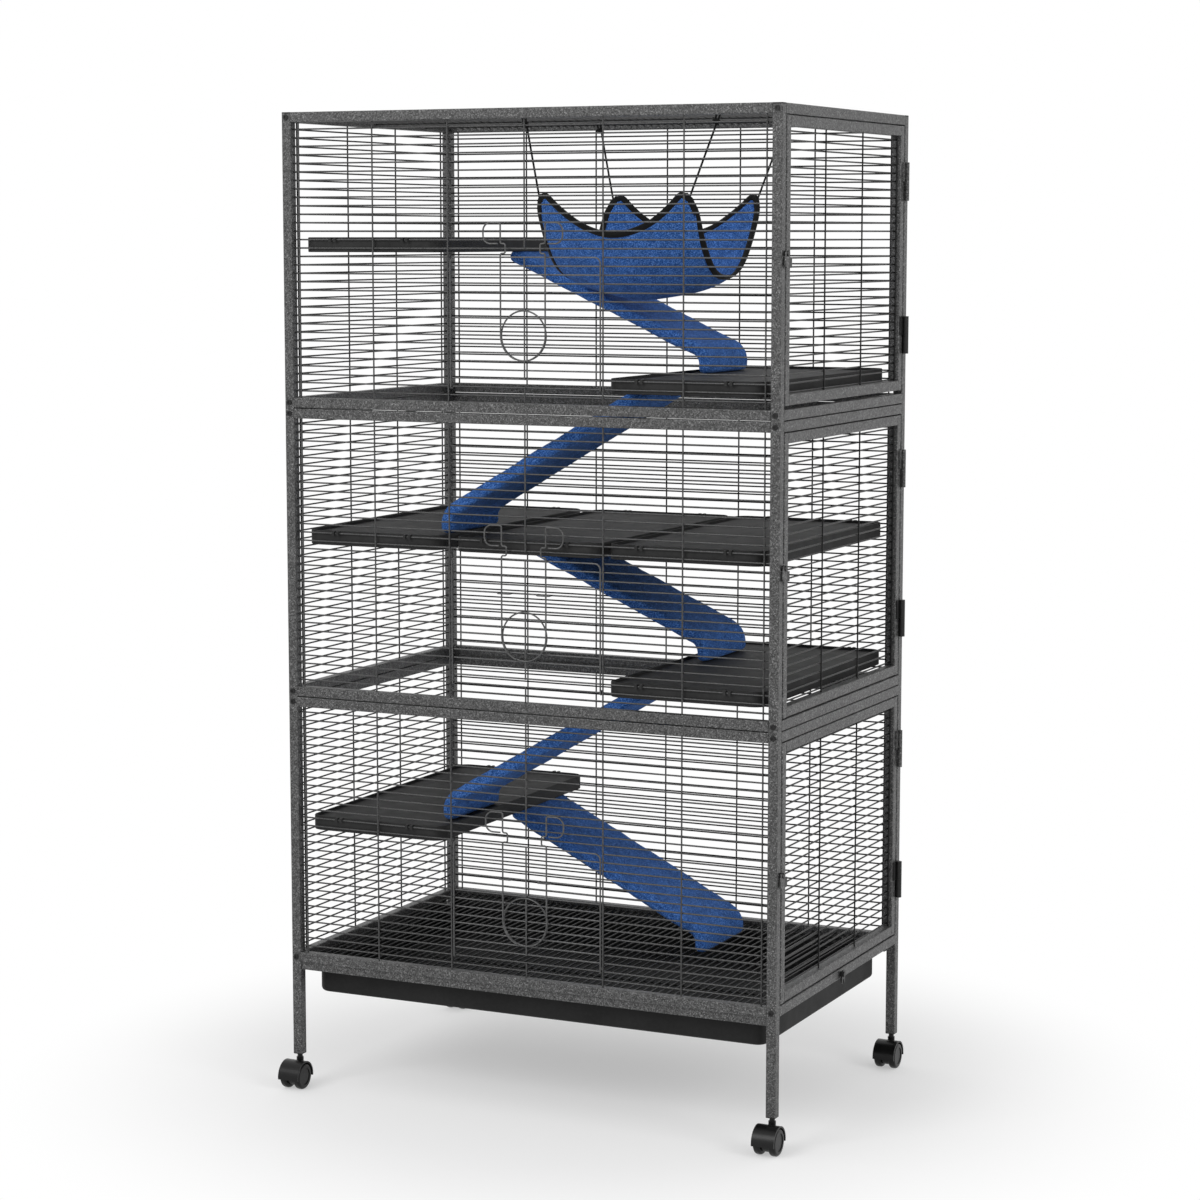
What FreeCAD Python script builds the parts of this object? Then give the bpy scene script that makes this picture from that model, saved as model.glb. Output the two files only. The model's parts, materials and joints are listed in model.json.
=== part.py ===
import FreeCAD, Part
import os
from math import acos, asin, atan2, cos, hypot, pi, radians, sin, sqrt, tan

V = FreeCAD.Vector
ALONG_Y = V(0, 1, 0)
ALONG_Z = V(0, 0, 1)

# A three-tier cage in millimetres.
# Origin on the floor under its middle, front at -Y, side doors at +X, up is +Z.

# Frame
width = 800.0
depth = 515.0
bottom_tier_height = 412.5
upper_tier_height = 437.5
leg_height = 144.5
caster_height = 53.0
tube = 15.0
tube_wall = 1.2
tube_corner = 1.5
rail_seam = 1.2
cap_height = 2.0
cap_plug = 2.0
cap_clearance = 0.1
cut_overrun = 5.0

# Wire grilles
wire = 2.4
wire_pitch = 12.5
wire_margin = 25.0
front_bay = 125.0
side_upright_inner = 75.0
side_upright_outer = 225.0
flat_cross_spacing = 160.0

# Screws
screw_head_radius = 4.0
screw_head_height = 1.6
screw_socket_radius = 2.0
screw_socket_depth = 1.0
screw_shank_radius = 2.5
screw_hole_clearance = 0.1
screw_reach = 8.0

# Side doors
door_gap = 3.3
door_top_gap = 1.5
door_foot_gap = 2.5
top_door_foot_gap = 5.5
door_wire_margin = 37.5

# Door hinges: a slim painted one above, a stouter black one below, on one axis
hinge_out = 4.6
pin_clearance = 0.05
knuckle_gap = 0.2
pin_end_gap = 2.0
slim_drop = 100.0
slim_length = 58.0
slim_radius = 3.2
slim_pin_radius = 1.6
slim_leaf = 2.4
slim_reach = 11.0
stout_rise = 105.0
stout_length = 57.0
stout_radius = 4.8
stout_pin_radius = 2.2
stout_leaf = 2.0
stout_reach = 15.0

# Swinging latch beside each side door
side_latch_drop = 219.0
side_latch_arm = 13.0
side_latch_end_radius = 7.0
side_latch_head_radius = 4.6
side_latch_thickness = 2.2
side_latch_gap = 0.4
pivot_shank_radius = 2.2
pivot_head_radius = 4.0
pivot_head_height = 1.8
pivot_clearance = 0.08
pivot_play = 0.15
keeper_height = 14.0
keeper_thickness = 2.5

# Front hatches and their squeeze latches
hatch_height = 187.5
bottom_hatch_height = 175.0
hatch_side_gap = 1.6
hatch_corner = 9.0
hinge_loop_clearance = 0.4
hinge_loop_turn = 300.0
layer_gap = 0.4
ring_radius = 36.0
ring_drop = 112.5
coil_turn = 70.0
arm_bend = 3.0
hook_rise = 5.5
hook_height = 14.0
hook_depth = 8.0
finger_width = 28.0
finger_height = 30.0
finger_bend = 12.0
finger_end_gap = 4.0
guide_drop = 50.0
guide_inner = 22.0
guide_width = 20.0
guide_clearance = 0.6

# Shelves
shelf_wall_gap = 28.0
left_shelf_width = 228.0
middle_shelf_width = 237.0
right_shelf_width = 244.0
left_shelf_spacing = 23.0
shelf_side_gap = 1.6
shelf_height = 22.0
shelf_corner = 20.0
shelf_edge = 1.5
shelf_rim = 4.0
shelf_floor = 2.5
shelf_wall = 3.0
upper_shelf_drop = 187.5
lower_shelf_rise = 50.0
shelf_hook_inset = 53.0
shelf_hook_width = 4.0
shelf_hook_spacing = 8.0
shelf_hook_height = 6.6
shelf_hook_top = 2.0
shelf_hook_tip = 2.0
shelf_hook_clearance = 0.3

# Ramps: a stiff board in a fleece sleeve, bent upright at its foot
ramp_width = 158.0
ramp_thickness = 20.0
ramp_end_edge = 9.0
ramp_side_edge = 7.0
ramp_bend = 26.0
ramp_foot_rise = 30.0
ramp_gap = 0.4
ramp_tuck = 14.0
ramp_side = 100.0
ramp_board = 8.0
ramp_board_edge = 1.5
ramp_board_inset = 9.0
ramp_board_clearance = 0.2
falling_ramp_reach = 34.0
crossing_ramp_reach = 26.0
floor_ramp_foot = 160.0

# Hammock and its cords
hammock_width = 259.0
hammock_depth = 276.0
hammock_centre = 84.5
hammock_clearance = 8.5
hammock_thickness = 4.0
hammock_hem_sag = 86.0
hammock_side_sag = 151.0
hammock_belly_sag = 184.0
hammock_tip_round = 28.5
hammock_rise_power = 2.4
hammock_section_shares = (-1, -0.67, -0.33, 0, 0.33, 0.67, 1)
cord = 3.0
cord_loop_clearance = 0.3
cord_end_gap = 0.6
cord_left_bays = 5
cord_right_bays = 20

# Tray, its runners and its latch
tray_length = 744.0
tray_width = 460.0
tray_depth = 43.0
tray_wall = 2.5
tray_corner = 18.0
tray_edge = 7.0
tray_lip = 10.0
tray_lip_thickness = 2.5
tray_clearance = 0.3
runner_drop = 12.0
runner_thickness = 1.5
runner_inset = 3.0
runner_ledge = 20.0
tray_latch_radius = 6.0
tray_latch_thickness = 2.2
tray_latch_fork = 7.0
tray_latch_gap = 0.6

# Casters
caster_stem_radius = 4.0
caster_stem_plug = 20.0
caster_stem_end_gap = 2.0
caster_socket_depth = 20.0
caster_trail = 14.0
wheel_radius = 20.0
wheel_width = 11.5
wheel_edge = 4.0
wheel_dish_radius = 13.0
wheel_dish_depth = 1.0
wheel_face = 2.0
axle_end_gap = 0.4
axle_radius = 3.0
hood_wall = 2.5
hood_gap = 1.0
hood_skirt = 3.0
web_thickness = 11.0
web_radius = 15.0
web_gap = 0.4
boss_top = 46.0

# Places that follow from the sizes above
half_width = width / 2
half_depth = depth / 2
inner_x = half_width - tube
inner_y = half_depth - tube
tube_bore = tube - 2 * tube_wall
wire_radius = wire / 2
row_y = half_depth - tube / 2 - wire_radius
upright_y = row_y + wire
row_x = half_width - tube / 2 - wire_radius
upright_x = row_x + wire
tiers = ("bottom", "middle", "top")
tier_floor = {"bottom": caster_height + leg_height}
tier_roof = {"bottom": tier_floor["bottom"] + bottom_tier_height}
tier_floor["middle"] = tier_roof["bottom"]
tier_roof["middle"] = tier_floor["middle"] + upper_tier_height
tier_floor["top"] = tier_roof["middle"]
tier_roof["top"] = tier_floor["top"] + upper_tier_height
height = tier_roof["top"]
hinge_x = half_width + hinge_out
hinge_y = inner_y - door_gap / 2
stile_y = inner_y - door_gap
floor_wire_z = tier_floor["bottom"] + tube / 2
roof_wire_z = height - tube / 2

os.makedirs("parts", exist_ok=True)


def save(node, solids):
    Part.makeCompound(solids).exportStep("parts/" + node + ".step")


def block(low, high):
    """A box between two corners."""
    size = high.sub(low)
    return Part.makeBox(size.x, size.y, size.z, low)


def rod(start, end, radius=wire_radius):
    run = end.sub(start)
    return Part.makeCylinder(radius, run.Length, start, run)


def fused(shapes):
    return shapes[0].multiFuse(shapes[1:]).removeSplitter()


def edges_along(shape, direction):
    """The straight edges of a shape that run along a direction."""
    found = []
    for edge in shape.Edges:
        first, last = edge.Vertexes[0].Point, edge.Vertexes[-1].Point
        run = last.sub(first)
        if run.Length > 0 and abs(run.dot(direction)) / run.Length > cos(radians(1)):
            found.append(edge)
    return found


def square_tube(start, end):
    """A hollow square tube whose middle line runs between two points along one axis."""
    run = end.sub(start)
    side = V(*(0 if abs(part) > 0 else tube / 2 for part in run))
    bore = V(*(0 if abs(part) > 0 else tube_bore / 2 for part in run))
    spare = V(run).normalize().multiply(cut_overrun)
    outer = block(start.sub(side), end.add(side))
    outer = outer.makeFillet(tube_corner, edges_along(outer, V(run).normalize()))
    return outer.cut(block(start.sub(bore).sub(spare), end.add(bore).add(spare)))


def rounded_path(points, bends):
    """Straight runs through the points, joined by tangent arcs; one bend radius for each inner point."""
    edges = []
    start = points[0]
    for before, corner, after, bend in zip(points, points[1:], points[2:], bends):
        back = before.sub(corner).normalize()
        onward = after.sub(corner).normalize()
        half_angle = acos(back.dot(onward)) / 2
        reach = bend / tan(half_angle)
        first = corner.add(V(back).multiply(reach))
        last = corner.add(V(onward).multiply(reach))
        bisector = back.add(onward).normalize()
        middle = corner.add(V(bisector).multiply(bend / sin(half_angle) - bend))
        edges.append(Part.LineSegment(start, first).toShape())
        edges.append(Part.Arc(first, middle, last).toShape())
        start = last
    edges.append(Part.LineSegment(start, points[-1]).toShape())
    return edges


def bent_wire(edges, radius=wire_radius):
    """A round wire along a path of tangent lines and arcs."""
    path = Part.Wire(edges)
    first = edges[0]
    tangent = first.tangentAt(first.FirstParameter)
    origin = first.valueAt(first.FirstParameter)
    profile = Part.Wire([Part.Circle(origin, tangent, radius).toShape()])
    return path.makePipeShell([profile], True, False)


def link_plate(centre_a, radius_a, centre_b, radius_b, thickness):
    """A flat link across X: two round ends joined by their outer tangents."""
    dy = centre_b.y - centre_a.y
    dz = centre_b.z - centre_a.z
    heading = atan2(dz, dy)
    lean = acos((radius_a - radius_b) / hypot(dy, dz))

    def rim(centre, radius, angle):
        return V(centre.x, centre.y + radius * cos(angle), centre.z + radius * sin(angle))

    left_a = rim(centre_a, radius_a, heading + lean)
    right_a = rim(centre_a, radius_a, heading - lean)
    left_b = rim(centre_b, radius_b, heading + lean)
    right_b = rim(centre_b, radius_b, heading - lean)
    outline = [
        Part.LineSegment(right_a, right_b).toShape(),
        Part.Arc(right_b, rim(centre_b, radius_b, heading), left_b).toShape(),
        Part.LineSegment(left_b, left_a).toShape(),
        Part.Arc(left_a, rim(centre_a, radius_a, heading + pi), right_a).toShape(),
    ]
    return Part.Face(Part.Wire(outline)).extrude(V(thickness, 0, 0))


def wire_levels(tier, margin=wire_margin):
    """Heights of a tier's horizontal wires, from the bottom up, evenly spaced near the pitch."""
    low = tier_floor[tier] + margin
    span = tier_roof[tier] - margin - low
    steps = max(round(span / wire_pitch), 1)
    return [low + span * step / steps for step in range(steps + 1)]


def nearest_row(levels, z):
    return min(range(len(levels)), key=lambda row: abs(levels[row] - z))


def evenly(half_span, spacing):
    """Places along one axis, even about zero, that stay inside a half span."""
    count = int((half_span - wire) // spacing)
    return [spacing * step for step in range(-count, count + 1)]


def rail_levels(tier):
    """Middle heights of a tier's bottom and top rails."""
    seam = 0 if tier == "top" else rail_seam
    return tier_floor[tier] + tube / 2, tier_roof[tier] - seam - tube / 2


def bay(tier):
    """Clear height of a tier between its rails."""
    low, high = rail_levels(tier)
    return low + tube / 2, high - tube / 2


# Posts, caps, rails and the screws that join them

def screw_levels():
    return [z for tier in tiers for z in rail_levels(tier)]


def post(side_x, side_y):
    """A post with its screw holes; the back right one also carries the slim hinges' lower knuckles."""
    x = side_x * (half_width - tube / 2)
    y = side_y * (half_depth - tube / 2)
    body = square_tube(V(x, y, caster_height), V(x, y, height - cap_height))
    span = V(0, tube / 2 + cut_overrun, 0)
    hole = screw_shank_radius + screw_hole_clearance
    holes = [rod(V(x, y, z).sub(span), V(x, y, z).add(span), hole) for z in screw_levels()]
    body = body.cut(Part.makeCompound(holes))
    if side_x > 0 and side_y > 0:
        body = fused([body] + [post_knuckle(*slim_hinge(tier)) for tier in tiers])
    return body


def post_cap(side_x, side_y):
    x = side_x * (half_width - tube / 2)
    y = side_y * (half_depth - tube / 2)
    plug_side = tube_bore / 2 - cap_clearance
    plate = block(V(x - tube / 2, y - tube / 2, height - cap_height), V(x + tube / 2, y + tube / 2, height))
    plate = plate.makeFillet(tube_corner, edges_along(plate, ALONG_Z))
    plug = block(V(x - plug_side, y - plug_side, height - cap_height - cap_plug),
                 V(x + plug_side, y + plug_side, height - cap_height))
    return fused([plate, plug])


def front_and_back_rails():
    y = half_depth - tube / 2
    return [square_tube(V(-inner_x, side * y, z), V(inner_x, side * y, z))
            for side in (-1, 1) for tier in tiers for z in rail_levels(tier)]


def side_rails():
    x = half_width - tube / 2
    return [square_tube(V(side * x, -inner_y, z), V(side * x, inner_y, z))
            for side in (-1, 1) for tier in tiers for z in rail_levels(tier)]


def socket_screw(seat, outward):
    """A socket screw with its head on a face, its shank through the post and into the rail behind it."""
    top = seat.add(V(outward).multiply(screw_head_height))
    head = rod(seat, top, screw_head_radius)
    shank = rod(seat.sub(V(outward).multiply(tube + screw_reach)), seat, screw_shank_radius)
    socket = rod(top.sub(V(outward).multiply(screw_socket_depth)), top.add(V(outward).multiply(cut_overrun)),
                 screw_socket_radius)
    return fused([head, shank]).cut(socket)


def pivot_screw(y, z, stand_off, plate):
    """A shouldered screw across X that a flat lever turns on."""
    face = half_width
    inner = face + stand_off - pivot_play
    outer = face + stand_off + plate + pivot_play
    return fused([
        rod(V(face, y, z), V(inner, y, z), pivot_head_radius),
        rod(V(inner, y, z), V(outer, y, z), pivot_shank_radius),
        rod(V(outer, y, z), V(outer + pivot_head_height, y, z), pivot_head_radius),
    ])


def frame_screws():
    screws = []
    for side_x in (-1, 1):
        for side_y in (-1, 1):
            for z in screw_levels():
                seat = V(side_x * (half_width - tube / 2), side_y * half_depth, z)
                screws.append(socket_screw(seat, V(0, side_y, 0)))
    for tier in tiers:
        pivot = side_latch_pivot(tier)
        screws.append(pivot_screw(pivot.y, pivot.z, side_latch_stand_off, side_latch_thickness))
    screws.append(pivot_screw(0, floor_wire_z, side_latch_stand_off, tray_latch_thickness))
    return screws


# Fixed grilles

def hatch_rows(tier):
    """Rows of the hatch's hinge wire and of its top wire."""
    levels = wire_levels(tier)
    tall = bottom_hatch_height if tier == "bottom" else hatch_height
    return 1, nearest_row(levels, levels[1] + tall)


def front_grille(tier):
    """The front grille, open in the bay that the hatch closes."""
    levels = wire_levels(tier)
    hinge_row, top_row = hatch_rows(tier)
    low, high = bay(tier)
    bay_edge = front_bay - wire_radius
    rods = []
    for row, z in enumerate(levels):
        if hinge_row < row <= top_row:
            rods.append(rod(V(-inner_x, -row_y, z), V(-bay_edge, -row_y, z)))
            rods.append(rod(V(bay_edge, -row_y, z), V(inner_x, -row_y, z)))
        else:
            rods.append(rod(V(-inner_x, -row_y, z), V(inner_x, -row_y, z)))
    for x in evenly(inner_x, front_bay):
        if x == 0:
            rods.append(rod(V(x, -upright_y, low), V(x, -upright_y, levels[hinge_row] + wire_radius)))
            rods.append(rod(V(x, -upright_y, levels[top_row + 1] - wire_radius), V(x, -upright_y, high)))
        else:
            rods.append(rod(V(x, -upright_y, low), V(x, -upright_y, high)))
    return rods


def back_grille(tier):
    low, high = bay(tier)
    rods = [rod(V(-inner_x, row_y, z), V(inner_x, row_y, z)) for z in wire_levels(tier)]
    rods += [rod(V(x, upright_y, low), V(x, upright_y, high)) for x in evenly(inner_x, front_bay)]
    return rods


def side_upright_places(clear_half):
    """Y of the uprights of a side grille; the outer pair keeps inside the clear half width."""
    outer = min(side_upright_outer, clear_half - wire_radius)
    return -outer, -side_upright_inner, side_upright_inner, outer


def left_grille(tier):
    low, high = bay(tier)
    rods = [rod(V(-row_x, -inner_y, z), V(-row_x, inner_y, z)) for z in wire_levels(tier)]
    rods += [rod(V(-upright_x, y, low), V(-upright_x, y, high)) for y in side_upright_places(inner_y)]
    return rods


def flat_grille(z):
    """A level grille between the rails: close wires along Y on a few cross wires along X."""
    rods = [rod(V(x, -inner_y, z), V(x, inner_y, z)) for x in evenly(inner_x, wire_pitch)]
    cross_z = z - wire
    rods += [rod(V(-inner_x, y, cross_z), V(inner_x, y, cross_z))
             for y in evenly(inner_y, flat_cross_spacing)]
    return rods


# Side doors, their hinges and latches

def slim_hinge(tier):
    """Middle height and sizes of a tier's painted hinge."""
    z = tier_roof[tier] - slim_drop
    return z, slim_length, slim_radius, slim_pin_radius, slim_leaf, slim_reach


def stout_hinge(tier):
    """Middle height and sizes of a tier's black hinge."""
    z = tier_floor[tier] + stout_rise
    return z, stout_length, stout_radius, stout_pin_radius, stout_leaf, stout_reach


def hinge_leaf(side, low, high, leaf, reach):
    """A leaf on the tube's outer face, from the hinge axis towards the post (1) or the door (-1)."""
    ends = sorted((hinge_y, hinge_y + side * reach))
    return block(V(half_width, ends[0], low), V(half_width + leaf, ends[1], high))


def post_knuckle(z, length, radius, pin_radius, leaf, reach):
    """Lower knuckle on the post, with the pin that stands up out of it."""
    low, high = z - length / 2, z - knuckle_gap / 2
    pin_top = z + length / 2 - pin_end_gap
    return fused([
        hinge_leaf(1, low, high, leaf, reach),
        rod(V(hinge_x, hinge_y, low), V(hinge_x, hinge_y, high), radius),
        rod(V(hinge_x, hinge_y, z - length / 4), V(hinge_x, hinge_y, pin_top), pin_radius),
    ])


def door_knuckle(z, length, radius, pin_radius, leaf, reach):
    """Upper knuckle on the door, which lifts off the pin."""
    low, high = z + knuckle_gap / 2, z + length / 2
    knuckle = fused([
        hinge_leaf(-1, low, high, leaf, reach),
        rod(V(hinge_x, hinge_y, low), V(hinge_x, hinge_y, high), radius),
    ])
    bore = rod(V(hinge_x, hinge_y, low - cut_overrun), V(hinge_x, hinge_y, high - pin_end_gap / 2),
               pin_radius + pin_clearance)
    return knuckle.cut(bore)


def door_span(tier):
    """Bottom and top of a side door."""
    low, high = bay(tier)
    foot_gap = top_door_foot_gap if tier == "top" else door_foot_gap
    return low + foot_gap, high - door_top_gap


def side_door(tier):
    """Square-tube door frame; its hinge stile carries the slim hinge's upper knuckle."""
    low, high = door_span(tier)
    x = half_width - tube / 2
    y = stile_y - tube / 2
    front_stile = square_tube(V(x, -y, low), V(x, -y, high))
    hinge_stile = square_tube(V(x, y, low), V(x, y, high))
    hinge_stile = fused([hinge_stile, door_knuckle(*slim_hinge(tier))])
    clear = stile_y - tube
    bars = [square_tube(V(x, -clear, z), V(x, clear, z)) for z in (low + tube / 2, high - tube / 2)]
    return [front_stile, hinge_stile] + bars


def side_door_grille(tier):
    low, high = door_span(tier)
    clear = stile_y - tube
    rods = [rod(V(row_x, -clear, z), V(row_x, clear, z)) for z in wire_levels(tier, door_wire_margin)]
    rods += [rod(V(upright_x, y, low + tube), V(upright_x, y, high - tube))
             for y in side_upright_places(clear)]
    return rods


def side_door_hardware(tier):
    """Black leaf with its knuckle, and the plate that the latch closes against."""
    z = tier_roof[tier] - side_latch_drop
    keeper = block(V(half_width, -stile_y, z - keeper_height / 2),
                   V(half_width + keeper_thickness, tube - stile_y, z + keeper_height / 2))
    return [door_knuckle(*stout_hinge(tier)), keeper]


side_latch_stand_off = keeper_thickness + side_latch_gap


def side_latch_pivot(tier):
    return V(half_width + side_latch_stand_off, -stile_y - side_latch_gap - side_latch_end_radius,
             tier_roof[tier] - side_latch_drop + side_latch_arm)


def side_latch(tier):
    """Flat lever that hangs from its screw on the post, its round end beside the door's keeper."""
    pivot = side_latch_pivot(tier)
    end = pivot.sub(V(0, 0, side_latch_arm))
    plate = link_plate(pivot, side_latch_head_radius, end, side_latch_end_radius, side_latch_thickness)
    span = V(cut_overrun, 0, 0)
    return plate.cut(rod(pivot.sub(span), pivot.add(span), pivot_shank_radius + pivot_clearance))


# Front hatches and their squeeze latches

loop_radius = wire + hinge_loop_clearance
hatch_frame_y = row_y + loop_radius
hatch_row_y = hatch_frame_y - wire
ring_y = hatch_frame_y + wire
arm_y = ring_y + wire + layer_gap
guide_y = arm_y + wire + guide_clearance
hatch_half = front_bay - wire - hatch_side_gap


def ring_centre(tier):
    """Middle of the latch's spring ring, about which its two arms turn."""
    top_row = hatch_rows(tier)[1]
    return V(0, -arm_y, wire_levels(tier)[top_row] - ring_drop)


def hinge_loop(side, z):
    """Arc of the wire's end round the hinge wire, up to where the side wire leaves it."""
    def on_loop(angle):
        return V(side * hatch_half, -row_y - loop_radius * cos(angle), z - loop_radius * sin(angle))
    turn = radians(hinge_loop_turn)
    return Part.Arc(on_loop(turn), on_loop(turn / 2), on_loop(0)).toShape()


def front_door(tier):
    """Hatch: a bent outer wire looped round the hinge wire, with its own rows, ring and two arm guides."""
    levels = wire_levels(tier)
    hinge_row, top_row = hatch_rows(tier)
    hinge_z, top_z = levels[hinge_row], levels[top_row]
    corners = [V(-hatch_half, -hatch_frame_y, hinge_z), V(-hatch_half, -hatch_frame_y, top_z),
               V(hatch_half, -hatch_frame_y, top_z), V(hatch_half, -hatch_frame_y, hinge_z)]
    right_loop = hinge_loop(1, hinge_z)
    right_loop.reverse()
    outline = [hinge_loop(-1, hinge_z)] + rounded_path(corners, (hatch_corner, hatch_corner)) + [right_loop]
    pieces = [bent_wire(outline)]
    row_end = hatch_half + wire_radius
    for z in levels[hinge_row + 1:top_row]:
        pieces.append(rod(V(-row_end, -hatch_row_y, z), V(row_end, -hatch_row_y, z)))
    upright_foot = levels[hinge_row + 1] - wire_radius
    pieces.append(rod(V(0, -hatch_frame_y, upright_foot), V(0, -hatch_frame_y, top_z - wire_radius)))
    centre = ring_centre(tier)
    pieces.append(Part.makeTorus(ring_radius, wire_radius, V(0, -ring_y, centre.z), ALONG_Y))
    guide_z = levels[nearest_row(levels, top_z - guide_drop)]
    guide_foot = hatch_row_y + wire_radius
    for side in (-1, 1):
        inner, outer = side * guide_inner, side * (guide_inner + guide_width)
        staple = [V(inner, -guide_foot, guide_z), V(inner, -guide_y, guide_z),
                  V(outer, -guide_y, guide_z), V(outer, -guide_foot, guide_z)]
        pieces.append(bent_wire(rounded_path(staple, (arm_bend, arm_bend))))
    return pieces


def front_latch(tier, side):
    """One arm of the squeeze latch: part of the coil, a long arm, an inward hook and a finger loop."""
    centre = ring_centre(tier)

    def place(out, up):
        return centre.add(V(side * out, 0, up))

    def on_coil(angle):
        return place(ring_radius * cos(angle), ring_radius * sin(angle))

    hook_low = ring_drop + hook_rise
    hook_high = hook_low + hook_height
    hook_in = ring_radius - hook_depth
    finger_top = hook_high + finger_height
    finger_out = ring_radius + finger_width
    coil_end = -radians(coil_turn)
    coil = Part.Arc(on_coil(coil_end), on_coil(coil_end / 2), on_coil(0)).toShape()
    points = [on_coil(0), place(ring_radius, hook_low), place(hook_in, hook_low), place(hook_in, hook_high),
              place(ring_radius, hook_high), place(ring_radius, finger_top), place(finger_out, finger_top),
              place(finger_out, hook_high), place(ring_radius + finger_end_gap, hook_high)]
    bends = (arm_bend,) * 5 + (finger_bend,) * 2
    return bent_wire([coil] + rounded_path(points, bends))


# Shelves

def shelf_rim_z(tier, z):
    """Top of a shelf whose hooks hang on the grille wire nearest to a height."""
    levels = wire_levels(tier)
    wire_z = levels[nearest_row(levels, z)]
    return wire_z + wire_radius + shelf_hook_clearance + shelf_hook_top


def upper_rim(tier):
    return shelf_rim_z(tier, tier_roof[tier] - upper_shelf_drop)


def lower_rim(tier):
    return shelf_rim_z(tier, tier_floor[tier] + lower_shelf_rise)


left_shelf = (shelf_wall_gap - half_width, shelf_wall_gap - half_width + left_shelf_width)
middle_shelf_start = left_shelf[1] + left_shelf_spacing
middle_shelf = (middle_shelf_start, middle_shelf_start + middle_shelf_width)
right_shelf = (half_width - shelf_wall_gap - right_shelf_width, half_width - shelf_wall_gap)
shelf_half_depth = row_y - wire_radius - shelf_side_gap


def shelf_hook(x, side, rim_z):
    """Moulded hook that reaches through the grille and over one wire."""
    tip_y = row_y + wire_radius + shelf_hook_clearance
    ends = sorted((side * (shelf_half_depth - shelf_wall), side * (tip_y + shelf_hook_tip)))
    arm = block(V(x - shelf_hook_width / 2, ends[0], rim_z - shelf_hook_top),
                V(x + shelf_hook_width / 2, ends[1], rim_z))
    ends = sorted((side * tip_y, side * (tip_y + shelf_hook_tip)))
    tip = block(V(x - shelf_hook_width / 2, ends[0], rim_z - shelf_hook_height),
                V(x + shelf_hook_width / 2, ends[1], rim_z))
    return fused([arm, tip])


def rounded_block(low, high, corner):
    solid = block(low, high)
    return solid.makeFillet(corner, edges_along(solid, ALONG_Z))


def shelf(span, rim_z):
    """A moulded tray of a shelf: rim, floor, open underside, and hooks in pairs front and back."""
    y = shelf_half_depth
    inner_y_half = y - shelf_wall
    foot_z = rim_z - shelf_height
    inner_corner = shelf_corner - shelf_wall
    body = rounded_block(V(span[0], -y, foot_z), V(span[1], y, rim_z), shelf_corner)
    body = body.makeFillet(shelf_edge, [edge for edge in body.Edges if edge.BoundBox.ZLength < shelf_edge])
    inner_low, inner_high = span[0] + shelf_wall, span[1] - shelf_wall
    recess = rounded_block(V(inner_low, -inner_y_half, rim_z - shelf_rim),
                           V(inner_high, inner_y_half, rim_z + cut_overrun), inner_corner)
    hollow = rounded_block(V(inner_low, -inner_y_half, foot_z - cut_overrun),
                           V(inner_high, inner_y_half, rim_z - shelf_rim - shelf_floor), inner_corner)
    body = body.cut(recess).cut(hollow)
    hooks = []
    for x in (span[0] + shelf_hook_inset, span[1] - shelf_hook_inset):
        for offset in (-shelf_hook_spacing / 2, shelf_hook_spacing / 2):
            for side in (-1, 1):
                hooks.append(shelf_hook(x + offset, side, rim_z))
    return fused([body] + hooks)


# Ramps

def left_shelf_foot(rim_z):
    """Lower inner corner of the left shelf's right wall."""
    return V(left_shelf[1] - shelf_wall, 0, rim_z - shelf_height)


def right_shelf_foot(rim_z):
    """Lower inner corner of the right shelf's left wall."""
    return V(right_shelf[0] + shelf_wall, 0, rim_z - shelf_height)


def ramp_line(under, foot):
    """Head and bend of a ramp's middle line, whose top passes just under a shelf's wall."""
    bend = foot.add(V(0, 0, ramp_foot_rise))
    reach = under.sub(bend)
    below = ramp_thickness / 2 + ramp_gap
    climb = atan2(reach.z, abs(reach.x)) - asin(below / reach.Length)
    length = sqrt(reach.Length ** 2 - below ** 2) + ramp_tuck
    hand = -1 if reach.x < 0 else 1
    return bend.add(V(hand * length * cos(climb), 0, length * sin(climb))), bend


def bend_radius(head, bend):
    """Middle radius of a ramp's bend, limited by the upright run of its board."""
    slope = head.sub(bend)
    turn = atan2(abs(slope.x), slope.z)
    upright = ramp_foot_rise - ramp_board_inset - ramp_board_edge - ramp_gap
    return min(ramp_bend, upright / tan(turn / 2))


def bent_strip(head, bend, foot, half, end_edge, span):
    """A strip of even thickness that slopes down from its head and bends upright to its foot."""
    slope = bend.sub(head).normalize()
    hand = 1 if slope.x > 0 else -1
    over = V(-slope.z, 0, slope.x).multiply(hand * half)
    out = V(hand * half, 0, 0)
    mitre = over.add(out).multiply(1 / (1 + over.dot(out) / (half * half)))
    points = [head, head.add(over), bend.add(mitre), foot.add(out),
              foot.sub(out), bend.sub(mitre), head.sub(over), head]
    radius = bend_radius(head, bend)
    bends = (end_edge, radius + half, end_edge, end_edge, radius - half, end_edge)
    return Part.Face(Part.Wire(rounded_path(points, bends))).extrude(V(0, span, 0))


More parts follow.
